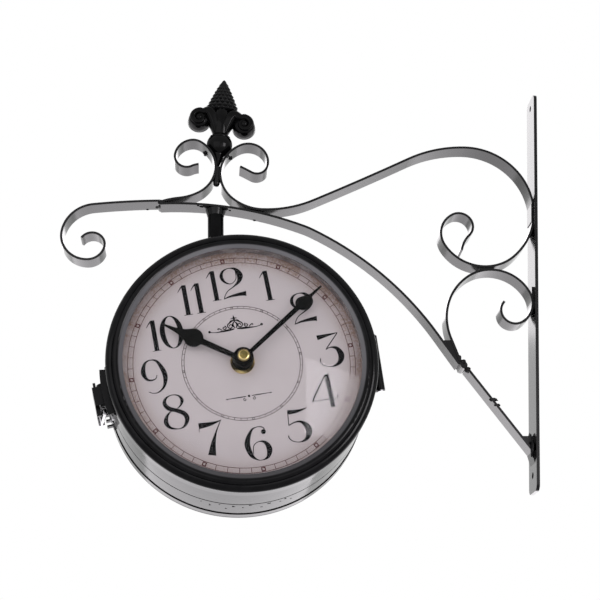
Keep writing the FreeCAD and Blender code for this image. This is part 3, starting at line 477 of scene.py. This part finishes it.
# Strokes of each figure as (x, z, width), measured from the lower left of its own box, in millimetres
FIGURES = {
    "1": [[(4.6, 19.3, 2.7), (4.6, 0.3, 2.7)],
          [(4.3, 18.9, 1.3), (2.6, 17.7, 0.7), (0.6, 15.1, 0.35)],
          [(2.1, 0.25, 0.45), (7.2, 0.25, 0.45)]],
    "2": [[(10.0, 16.9, 0.4), (9.6, 12.1, 0.5), (6.2, 9.4, 0.5), (2.7, 11.0, 1.3), (1.2, 14.6, 2.1),
           (2.7, 18.1, 1.3), (6.5, 19.5, 0.5), (10.3, 18.3, 2.0), (12.3, 14.2, 3.7), (11.0, 10.3, 2.2),
           (7.6, 7.5, 0.8), (3.6, 5.2, 0.5), (1.4, 2.5, 0.5), (0.7, 0.6, 0.6)],
          [(0.2, 0.3, 0.4), (3.7, 1.3, 1.1), (8.5, 1.9, 1.9), (12.5, 2.0, 2.6), (14.0, 1.9, 3.5)]],
    "3": [[(1.3, 19.4, 3.1), (6.5, 20.0, 1.9), (14.0, 20.8, 0.3)],
          [(13.7, 20.5, 0.6), (5.3, 11.7, 0.6)],
          [(5.0, 11.4, 0.5), (8.0, 12.3, 0.7), (11.6, 11.0, 2.3), (13.3, 6.5, 3.7), (11.3, 2.2, 2.4),
           (6.3, 0.3, 0.6), (1.8, 1.8, 0.5), (0.4, 4.4, 0.5), (0.8, 6.4, 0.6)]],
    "4": [[(11.5, 20.2, 0.6), (1.0, 5.7, 1.2)],
          [(0.2, 5.3, 0.5), (15.4, 5.0, 0.45)],
          [(15.7, 4.9, 1.0), (16.3, 7.0, 0.9)],
          [(12.3, 20.5, 2.5), (12.2, 0.4, 2.6)],
          [(9.6, 0.25, 0.4), (15.0, 0.25, 0.4)]],
    "5": [[(2.5, 18.9, 2.6), (6.5, 18.6, 2.2), (10.5, 19.0, 1.2), (14.0, 19.9, 0.3)],
          [(2.5, 19.8, 0.5), (1.5, 11.0, 0.5)],
          [(1.5, 11.0, 0.6), (5.6, 12.4, 0.8), (9.6, 11.6, 1.8), (12.5, 7.2, 3.7), (10.6, 2.0, 2.2),
           (6.4, 0.3, 0.6), (2.4, 1.3, 0.5), (0.4, 3.4, 0.6), (0.2, 5.2, 0.7)]],
    "6": [[(13.1, 17.6, 0.6), (12.6, 19.0, 0.6), (10.9, 19.8, 0.6), (8.6, 19.9, 0.5), (5.4, 18.3, 1.4),
           (1.9, 11.4, 3.2), (2.8, 4.6, 2.6), (5.6, 1.1, 0.8), (8.9, 0.3, 0.5), (12.2, 1.7, 1.9),
           (13.8, 6.0, 3.3), (12.3, 10.0, 2.0), (9.0, 11.3, 0.6), (5.8, 9.9, 0.5), (4.6, 7.0, 0.5),
           (4.4, 4.8, 0.5)]],
    "7": [[(0.4, 18.3, 3.6), (6.0, 18.4, 2.6), (10.5, 19.0, 1.3), (13.7, 19.9, 0.3)],
          [(0.3, 16.8, 0.4), (0.3, 14.6, 0.3)],
          [(13.4, 19.7, 0.4), (9.7, 13.4, 0.9), (7.0, 7.0, 2.6), (5.0, 0.1, 4.6)]],
    "8": [[(9.0, 12.3, 0.5), (11.2, 14.0, 1.0), (12.5, 16.9, 1.9), (11.0, 19.8, 1.0), (7.4, 20.9, 0.5),
           (3.8, 19.6, 1.2), (2.3, 16.6, 2.2), (4.2, 13.2, 2.6), (8.4, 11.3, 2.4), (12.2, 9.0, 2.7),
           (13.6, 5.6, 2.7), (11.6, 1.6, 1.4), (8.0, 0.3, 0.5), (3.2, 1.8, 1.6), (1.4, 5.4, 2.6),
           (2.8, 9.2, 1.5), (5.6, 11.4, 0.5)]],
    "9": [[(9.0, 11.0, 0.5), (8.3, 9.1, 0.5), (5.8, 8.3, 0.9), (3.0, 9.3, 1.6), (1.5, 13.6, 2.8),
           (3.2, 18.9, 1.5), (6.7, 20.6, 0.6), (10.6, 18.9, 1.6), (13.6, 11.0, 2.9), (12.5, 4.4, 1.7),
           (9.2, 0.9, 0.8), (5.6, 0.3, 0.45), (2.9, 1.6, 0.45)]],
}
# Figures on the dial as (figure, x, z) of the lower left of each one's box
DIAL_FIGURES = [
    ("1", 19.2, 35.8), ("2", 34.8, 18.0), ("3", 45.0, -11.6), ("4", 34.8, -35.6), ("5", 17.7, -53.2),
    ("6", -8.2, -59.9), ("7", -32.2, -52.1), ("8", -51.0, -33.7), ("9", -59.2, -10.4),
    ("1", -52.2, 15.1), ("0", -37.4, 25.4), ("1", -30.4, 34.3), ("1", -22.6, 34.3),
    ("1", -12.2, 40.6), ("2", -3.7, 40.6),
]
SIX_BALL = (12.3, 16.6, 1.45)


def numerals(side):
    work = bmesh.new()
    for figure, x, z in DIAL_FIGURES:
        if figure == "0":
            draw_oval(work, x, z, 6.9, 10.3, 3.1, 0.5)
            continue
        for points in FIGURES[figure]:
            draw_stroke(work, points, (x, z))
        if figure == "6":
            draw_dot(work, x + SIX_BALL[0], z + SIX_BALL[1], SIX_BALL[2])
    place_mesh(side + "_numerals", work, FACES[side], NUMERAL_INK, side + "_case", False)


def minute_track(side):
    work = bmesh.new()
    for radius in (TRACK_IN, TRACK_OUT):
        draw_ring(work, radius - LINE / 2, radius + LINE / 2)
    for minute in range(60):
        if minute % 5:
            draw_tick(work, TRACK_IN, TRACK_OUT, 6 * minute, LINE)
    place_mesh(side + "_minute_track", work, FACES[side], TRACK_INK, side + "_case", False)
    work = bmesh.new()
    for hour in range(12):
        draw_square(work, (TRACK_IN + TRACK_OUT) / 2, 30 * hour, HOUR_SQUARE, 0.62)
    place_mesh(side + "_hour_squares", work, FACES[side], SQUARE_INK, side + "_case", False)


def inner_rail(side):
    work = bmesh.new()
    for radius in (RAIL_IN, RAIL_OUT):
        draw_ring(work, radius - LINE / 2, radius + LINE / 2)
    for tick in range(60):
        if tick % 5:
            draw_tick(work, RAIL_IN, RAIL_OUT, 6 * tick, LINE)
    for hour in range(12):
        draw_square(work, (RAIL_IN + RAIL_OUT) / 2, 30 * hour, RAIL_SQUARE, 0.42)
    place_mesh(side + "_inner_rail", work, FACES[side], RAIL_INK, side + "_case", False)


def curl(x, z, start, turns, radius, width, hand):
    """Points of a small spiral that tightens round (x, z)."""
    points = []
    count = max(5, int(turns * 10))
    for i in range(count + 1):
        t = i / count
        angle = math.radians(start) + hand * 2 * math.pi * turns * t
        r = radius * (1 - 0.78 * t)
        points.append((x + r * math.cos(angle), z + r * math.sin(angle), width * (1 - 0.3 * t)))
    return points


def flourish(side):
    """A plain scroll ornament over the hands and a small divider under them."""
    work = bmesh.new()
    for hand in (-1, 1):
        draw_stroke(work, [(hand * 0.8, 21.4, 0.7), (hand * 4.0, 21.1, 1.3), (hand * 8.0, 20.9, 1.0),
                           (hand * 12.0, 20.8, 0.5), (hand * 15.4, 21.4, 0.5)])
        draw_dot(work, hand * 15.6, 21.7, 0.8)
        draw_stroke(work, curl(hand * 2.8, 23.5, 90, 1.35, 1.9, 0.75, -hand))
        draw_stroke(work, curl(hand * 6.6, 22.9, 110 if hand > 0 else 70, 1.2, 1.3, 0.7, hand))
        draw_stroke(work, [(hand * 8.0, 21.6, 0.5), (hand * 9.8, 22.9, 0.7), (hand * 10.6, 22.3, 0.9)])
        draw_stroke(work, [(hand * 0.4, 26.8, 0.6), (hand * 2.0, 26.3, 1.2), (hand * 3.6, 25.0, 0.4)])
        draw_stroke(work, [(hand * 0.3, 21.8, 0.5), (hand * 1.3, 24.0, 1.1), (hand * 0.3, 25.8, 0.5)])
        draw_stroke(work, [(hand * 1.6, -20.8, 0.4), (hand * 6.0, -20.8, 0.6), (hand * 12.5, -20.8, 0.3)])
        draw_stroke(work, curl(hand * 2.6, -22.6, 90, 1.1, 1.0, 0.45, -hand))
        draw_dot(work, hand * 12.9, -20.8, 0.45)
    draw_stroke(work, [(0.0, 25.4, 0.4), (0.0, 27.4, 1.2), (0.0, 29.8, 0.4)])
    draw_stroke(work, [(-2.0, 27.9, 0.3), (0.0, 28.2, 0.8), (2.0, 27.9, 0.3)])
    draw_dot(work, 0.0, -20.8, 0.75)
    place_mesh(side + "_flourish", work, FACES[side], NUMERAL_INK, side + "_case", False)


# Nodes whose edges are broken, with the width of the rounding in millimetres
ROUNDED = {"long_arm": 0.3, "left_scroll_arm": 0.3, "left_s_scroll": 0.3, "upper_arm": 0.3, "c_scroll": 0.3,
           "lower_brace": 0.3, "wall_plate": 0.3, "front_shell": 0.15, "rear_shell": 0.15, "rear_bezel": 0.45,
           "latch_lever": 0.3, "latch_base": 0.2, "latch_keeper": 0.2, "hinge_leaf_front": 0.2,
           "hinge_leaf_rear": 0.2}


def dress_nodes():
    for part in frame["record"]["subparts"]:
        name = part["node"]
        node = frame["nodes"][name]
        slot = part["material_slot"]
        side = name.split("_")[0]
        if slot == "dial_paper":
            mat = PAPERS[side]
        elif name.endswith("_bezel"):
            mat = BEZELS[side]
        elif name == "stem":
            mat = STEM
        else:
            mat = SLOT_MATERIALS[slot]
        node.data.materials.clear()
        node.data.materials.append(mat)
        if name in ROUNDED:
            rounding = node.modifiers.new("rounding", "BEVEL")
            rounding.width = ROUNDED[name] * MM
            rounding.segments = 2
            rounding.limit_method = "ANGLE"
            rounding.angle_limit = math.radians(40)


# Finial, in millimetres from the wall plate's middle: X along the bracket, Y through its depth, Z up
FINIAL_X = -203.2
FINIAL_TIP = 126.2
COLLAR_Z = 86.0
BALL_Z = 79.6
BALL_RADIUS = 8.25
SPIKE_Z = 63.8
CONE_FOOT = 105.0
CONE_HALF = 10.3
CONE_DEPTH = 6.4
SCALE_ROWS = 8
SCALES_ROUND = 16
# Each whorl as side, X from the finial's axis, Z and radius
WHORLS = ((-1, -14.2, 96.8, 7.2), (1, 14.8, 94.2, 7.4))


def skin(work, rows):
    """Closed skin over rows of points that each run round once, with a face at both ends."""
    made = [[work.verts.new(point) for point in row] for row in rows]
    for lower, upper in zip(made, made[1:]):
        count = len(lower)
        for i in range(count):
            j = (i + 1) % count
            work.faces.new((lower[i], lower[j], upper[j], upper[i]))
    work.faces.new(made[0])
    work.faces.new(made[-1])


def turned(x, z0, r, angle, squash, height):
    """Point on an upright turned piece whose depth is squashed."""
    return x + r * math.cos(angle), squash * r * math.sin(angle), z0 + height


def scaled_cone(work):
    """Tapering cone covered with overlapping scales set in staggered rows, rounded in at its foot."""
    rows = []
    around = 192
    for step in range(-14, 121):
        t = step / 120
        z = CONE_FOOT + (FINIAL_TIP - CONE_FOOT) * t
        profile = (1 - t) ** 0.76 if t > 0 else math.sqrt(max(0.05, 1 - (t / 0.13) ** 2))
        row = []
        for i in range(around):
            angle = 2 * math.pi * i / around
            band = (t + 0.2) * SCALE_ROWS
            in_row = band % 1.0
            across = (angle / (2 * math.pi) * SCALES_ROUND + 0.5 * (int(band) % 2)) % 1.0 - 0.5
            rounded = max(0.0, 1 - (2 * across) ** 2 - 0.75 * in_row ** 3)
            swell = 0.86 + 0.17 * math.sqrt(rounded) * (1 - 0.8 * in_row)
            reach = profile * swell
            row.append((FINIAL_X + CONE_HALF * reach * math.cos(angle),
                        CONE_DEPTH * reach * math.sin(angle), z))
        rows.append(row)
    skin(work, rows)


def lathed(work, middle, profile, squash=1.0, around=48):
    """Turns (radius, height) points about the upright axis, its depth squashed."""
    x, z0 = middle
    rows = [[turned(x, z0, r, 2 * math.pi * i / around, squash, h) for i in range(around)]
            for r, h in profile]
    skin(work, rows)


def faced(work, middle, profile, around=48):
    """Turns (radius, depth) points about an axis along Y."""
    x, z = middle
    rows = [[(x + r * math.cos(2 * math.pi * i / around), y, z + r * math.sin(2 * math.pi * i / around))
             for i in range(around)] for r, y in profile]
    skin(work, rows)


def swept(work, points, around=28, ribs=0):
    """Skins a curved bar through (x, z, half thickness, half depth) points; ribs run along its front."""
    line = smooth_line(points, 6)
    rows = []
    for i, (x, z, half, deep) in enumerate(line):
        nx, nz = side_of(line, i)
        row = []
        for k in range(around):
            angle = 2 * math.pi * k / around
            c, sn = math.cos(angle), math.sin(angle)
            full = 1.0 - (0.13 * (0.5 + 0.5 * math.cos(ribs * math.pi * c)) if ribs else 0.0) * abs(sn)
            c = math.copysign(abs(c) ** 0.8, c)
            sn = math.copysign(abs(sn) ** 0.75, sn)
            row.append((FINIAL_X + x + nx * half * c, deep * full * sn, z + nz * half * c))
        rows.append(row)
    skin(work, rows)


def finial():
    work = bmesh.new()
    scaled_cone(work)
    for side, cx, cz, radius in WHORLS:
        path = [(side * 2.2, 87.0, 2.6, 4.6), (side * 3.4, 92.0, 3.6, 5.6), (side * 5.6, 98.0, 4.2, 6.2),
                (side * 8.2, 101.6 - 0.6 * (97.0 - cz), 3.8, 6.2)]
        for k in range(17):
            t = k / 16
            angle = math.radians(118 - 400 * t)
            r = (radius - 2.3) * (1 - 0.62 * t)
            path.append((cx + side * r * math.cos(angle), cz + r * math.sin(angle), 2.7 * (1 - 0.55 * t),
                         5.6 - 1.0 * t))
        swept(work, path, ribs=3)
        faced(work, (FINIAL_X + cx, cz), [(radius - 1.5, -3.4), (radius - 0.9, -2.2), (radius - 0.2, 1.0),
                                          (radius + 0.2, 4.2), (radius - 0.6, 5.2)])
        faced(work, (FINIAL_X + cx, cz), [(0.8, -5.1), (1.9, -4.7), (2.3, -3.0)], 24)
    swept(work, [(0.0, 86.0, 4.6, 5.2), (0.0, 92.0, 4.8, 6.0), (0.0, 99.0, 5.0, 6.2), (0.0, 105.0, 3.0, 5.0)],
          ribs=5)
    collar = [(4.6, -3.0), (5.7, -2.6), (6.6, -1.9), (6.6, -1.1), (5.8, -0.5), (4.8, 0.2), (4.7, 2.6),
              (5.2, 4.4), (4.4, 6.0)]
    lathed(work, (FINIAL_X, COLLAR_Z), collar, 0.85)
    heights = [math.radians(-62 + 8.8 * k) for k in range(15)]
    ball = [(BALL_RADIUS * math.cos(a), BALL_RADIUS * math.sin(a)) for a in heights]
    lathed(work, (FINIAL_X, BALL_Z), ball, 0.76)
    spike = [(0.7, 0.0), (1.5, 1.6), (2.6, 4.6), (3.9, 8.2), (4.9, 11.0)]
    lathed(work, (FINIAL_X - 0.4, SPIKE_Z), spike, 0.85, 32)
    piece = place_mesh("cast_finial", work, WORLD, CASTING, "bracket")
    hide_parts("finial")


def lump(work, place, size, seed, rings=10, around=14):
    """Small irregular blob of weld or paint."""
    x, y, z = place
    rows = []
    for a in range(1, rings):
        polar_angle = math.pi * a / rings
        row = []
        for b in range(around):
            turn = 2 * math.pi * b / around
            way = Vector((math.sin(polar_angle) * math.cos(turn), math.sin(polar_angle) * math.sin(turn),
                          math.cos(polar_angle)))
            swell = 1.0 + 0.45 * noise.noise(way * 1.6 + Vector((seed * 3.1, seed * 1.7, seed)))
            row.append((x + size[0] * way.x * swell, y + size[1] * way.y * swell,
                        z + size[2] * way.z * swell))
        rows.append(row)
    skin(work, rows)


# Weld and paint lumps on the bracket as (x, y, z) and (half sizes), in millimetres
LUMPS = [
    ((-208.8, -5.2, 34.4), (1.7, 1.3, 0.8)), ((-211.4, -4.4, 34.5), (1.3, 1.0, 0.5)),
    ((-213.6, -5.6, 34.5), (0.8, 0.7, 0.4)), ((-196.2, -4.8, 34.0), (1.7, 1.4, 0.8)),
    ((-193.6, -3.0, 33.8), (0.8, 0.8, 0.4)), ((-237.6, -2.4, 33.2), (0.9, 2.6, 0.7)),
    ((-239.4, 2.6, 34.7), (0.9, 1.4, 0.5)), ((-245.5, 5.9, 34.1), (0.7, 0.6, 0.4)),
    ((-177.8, 5.9, 32.0), (0.9, 0.6, 0.5)), ((-46.4, -5.2, -55.8), (2.3, 1.5, 2.0)),
    ((-43.0, -5.0, -60.2), (1.9, 1.7, 1.7)), ((-48.0, -5.0, -53.0), (1.2, 1.4, 1.8)),
    ((-3.4, 0.5, -99.5), (1.0, 3.0, 3.5)), ((-3.6, -6.5, -107.0), (1.4, 1.6, 5.0)),
    ((-27.0, -5.4, -78.2), (2.6, 1.2, 1.2)), ((-24.6, -5.4, -81.4), (2.0, 1.0, 1.0)),
    ((-211.6, -3.0, 71.6), (1.5, 2.2, 1.5)), ((-195.6, -3.0, 69.6), (1.4, 2.0, 1.4)),
]
# Raised flecks in the paint low on the rear half of the case: degrees from 12 o'clock, depth and half size
CHIPS = [(171, 3.2, 0.55), (173, 6.0, 0.4), (178, 4.1, 0.7), (181, 9.5, 0.5), (186, 2.6, 0.6),
         (189, 7.2, 0.45), (193, 5.0, 0.7), (196, 11.0, 0.5), (199, 3.4, 0.45), (203, 8.4, 0.6),
         (168, 9.0, 0.4), (207, 5.2, 0.4)]


def paint_chips():
    work = bmesh.new()
    for i, (turn, depth, size) in enumerate(CHIPS):
        x, z = polar(CASE_RADIUS, turn)
        lump(work, (x, depth, z), (1.6 * size, size, 0.3 * size), i + 40)
    place_mesh("paint_chips", work, FRONT, WELD, "rear_case")


def weld_lumps():
    work = bmesh.new()
    for i, (place, size) in enumerate(LUMPS):
        lump(work, place, size, i + 1)
    place_mesh("weld_lumps", work, WORLD, WELD, "bracket")


# Stage ------------------------------------------------------------------------------------------------------

def area_lamp(name, place, target, size, radiance, glossy_only=False):
    """Soft box whose radiance is that of a white sheet lit to that many times plain level."""
    lamp = bpy.data.lights.new(name, "AREA")
    lamp.shape = "RECTANGLE"
    lamp.size, lamp.size_y = size
    lamp.energy = radiance * math.pi * size[0] * size[1]
    lamp.color = (1.0, 0.97, 1.0)
    holder = bpy.data.objects.new(name, lamp)
    holder.location = place
    holder.rotation_euler = (Vector(target) - Vector(place)).to_track_quat("-Z", "Y").to_euler()
    holder.visible_camera = False
    if glossy_only:
        holder.visible_diffuse = False
    bpy.context.scene.collection.objects.link(holder)
    return holder


def build_stage():
    scene = bpy.context.scene
    mesh = bpy.data.meshes.new("studio_floor")
    reach = 4.0
    mesh.from_pydata([(-reach, -reach, FLOOR_Z), (reach, -reach, FLOOR_Z), (reach, reach, FLOOR_Z),
                      (-reach, reach, FLOOR_Z)], [], [(0, 1, 2, 3)])
    mesh.materials.append(plain_stage("studio_floor", (0.86, 0.86, 0.865)))
    floor = bpy.data.objects.new("studio_floor", mesh)
    scene.collection.objects.link(floor)

    world = bpy.data.worlds.new("studio")
    world.use_nodes = True
    scene.world = world
    tree = world.node_tree
    tree.nodes.clear()
    path = tree.nodes.new("ShaderNodeLightPath")
    shown = maths(tree, "MAXIMUM", maths(tree, "MAXIMUM", path.outputs["Is Camera Ray"],
                                         path.outputs["Is Glossy Ray"]), path.outputs["Is Transmission Ray"])
    seen = tree.nodes.new("ShaderNodeBackground")
    seen.inputs["Color"].default_value = (1.0, 1.0, 1.0, 1.0)
    seen.inputs["Strength"].default_value = 1.0
    light = tree.nodes.new("ShaderNodeBackground")
    light.inputs["Color"].default_value = (1.0, 0.99, 1.0, 1.0)
    light.inputs["Strength"].default_value = 0.85
    mix = tree.nodes.new("ShaderNodeMixShader")
    output = tree.nodes.new("ShaderNodeOutputWorld")
    link(tree, shown, mix.inputs["Fac"])
    link(tree, light.outputs["Background"], mix.inputs[1])
    link(tree, seen.outputs["Background"], mix.inputs[2])
    link(tree, mix.outputs["Shader"], output.inputs["Surface"])

    # The glows are seen in reflections only: two on the floor for the undersides of the strips and case,
    # and one before the dial for the bright patch on its glass
    target = (-0.17, 0.0, -0.02)
    area_lamp("key_light", (-0.75, -1.45, 0.1), target, (1.3, 1.1), 1.1)
    area_lamp("fill_light", (0.5, -1.5, -0.1), target, (1.1, 1.0), 1.1)
    area_lamp("back_light", (-0.2, 1.3, 0.8), target, (1.0, 0.8), 1.2)
    glow_z = FLOOR_Z + 0.02
    area_lamp("near_glow", (-0.17, 0.6, glow_z), (-0.17, 0.6, 1.0), (7.0, 0.9), 1.55, glossy_only=True)
    area_lamp("far_glow", (-0.17, 2.3, glow_z), (-0.17, 2.3, 1.0), (7.0, 2.5), 1.5, glossy_only=True)
    area_lamp("window_glow", (0.89, -1.5, 0.235), (0.89, 0.0, 0.235), (0.72, 0.77), 12.0, glossy_only=True)


# Camera, found from the photograph: lens in millimetres, place in metres, then its right, up and back
SENSOR_WIDTH = 36.0
LENS = 82.44
CAMERA_PLACE = (-0.18837, -0.80027, -0.29786)
CAMERA_RIGHT = (0.99646, -0.06870, 0.04846)
CAMERA_UP = (-0.06817, -0.32289, 0.94398)
CAMERA_BACK = (-0.04920, -0.94394, -0.32643)


def build_camera():
    data = bpy.data.cameras.new("photo_camera")
    data.lens = LENS
    data.sensor_width = SENSOR_WIDTH
    data.clip_start = 0.01
    camera = bpy.data.objects.new("photo_camera", data)
    turn = Matrix((CAMERA_RIGHT, CAMERA_UP, CAMERA_BACK)).transposed().to_4x4()
    camera.matrix_world = Matrix.Translation(CAMERA_PLACE) @ turn
    bpy.context.scene.collection.objects.link(camera)
    bpy.context.scene.camera = camera


dress_nodes()
finial()
weld_lumps()
paint_chips()
for side in FACES:
    numerals(side)
    minute_track(side)
    inner_rail(side)
    flourish(side)
build_stage()
build_camera()
bpy.context.scene.view_settings.view_transform = "Standard"
